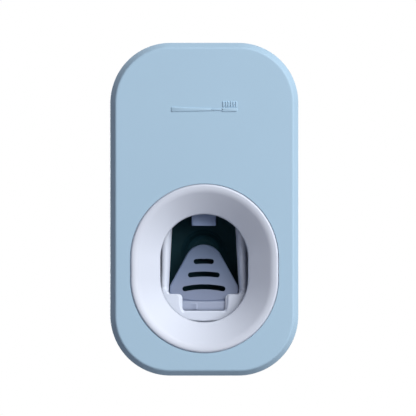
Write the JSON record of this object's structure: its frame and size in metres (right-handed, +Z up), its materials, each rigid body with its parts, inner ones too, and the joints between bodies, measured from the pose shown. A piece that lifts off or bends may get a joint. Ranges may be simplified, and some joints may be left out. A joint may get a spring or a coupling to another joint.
{
  "type": "toothpaste dispenser",
  "caption": "Wall toothpaste dispenser: rounded pale blue cover, white funnel and a sprung paddle that a brush pushes to pump paste from a tube standing nose down in its top.",
  "frame": {"origin": "middle of the adhesive face on the wall, at half the object's height", "axes": "+X to the right seen from the front, +Y into the wall, +Z up"},
  "size_m": [0.07, 0.044, 0.124],
  "materials": {
    "cover_blue": "fine satin moulded plastic",
    "bezel_white": "glossy moulded plastic",
    "inner_white": "semi-gloss moulded plastic",
    "lever_grey": "satin moulded plastic",
    "chassis_white": "matt moulded plastic",
    "black_silicone": "matt silicone",
    "clear_silicone": "milky silicone",
    "pin_steel": "ground steel",
    "spring_steel": "drawn wire",
    "screw_steel": "zinc plated",
    "foam_tape": "foam tape"
  },
  "bodies": {
    "wall": {"wall_plate": "chassis_white", "adhesive_pad": "foam_tape"},
    "cover": {"front_cover": "cover_blue", "bezel_ring": "bezel_white"},
    "paddle": {"push_paddle": "lever_grey"},
    "plunger": {"plunger": "inner_white"},
    "unit": {"brush_cradle": "inner_white", "nozzle": "lever_grey", "tube_socket": "inner_white", "feed_pipe": "inner_white", "pump_body": "chassis_white", "gallery_cover": "chassis_white", "rear_chassis": "chassis_white", "pump_membrane": "black_silicone", "nozzle_oring": "black_silicone", "feed_oring": "black_silicone", "inlet_valve": "clear_silicone", "duckbill_valve": "clear_silicone", "tube_seal": "clear_silicone", "paddle_pin": "pin_steel", "plunger_spring": "spring_steel", "bay_screws": "screw_steel"}
  },
  "joints": [
    {"name": "unit_lift", "type": "slide", "parent": "wall", "child": "unit", "axis": [0, 0, 1], "range_m": [0, 0.085]},
    {"name": "cover_pull", "type": "slide", "parent": "unit", "child": "cover", "axis": [0, -1, 0], "range_m": [0, 0.045]},
    {"name": "paddle_hinge", "type": "hinge", "parent": "unit", "child": "paddle", "pos_m": [0, -0.0271, -0.0366], "axis": [-1, 0, 0], "range_deg": [0, 10], "stiffness_Nm_per_rad": 0.4, "springref_deg": -8.59},
    {"name": "plunger_slide", "type": "slide", "parent": "unit", "child": "plunger", "axis": [0, 1, 0], "range_m": [0, 0.0042], "deforming": ["plunger_spring", "pump_membrane"]}
  ],
  "couplings": [
    {"joint": "plunger_slide", "follows": "paddle_hinge", "m_per_rad": 0.0202}
  ]
}
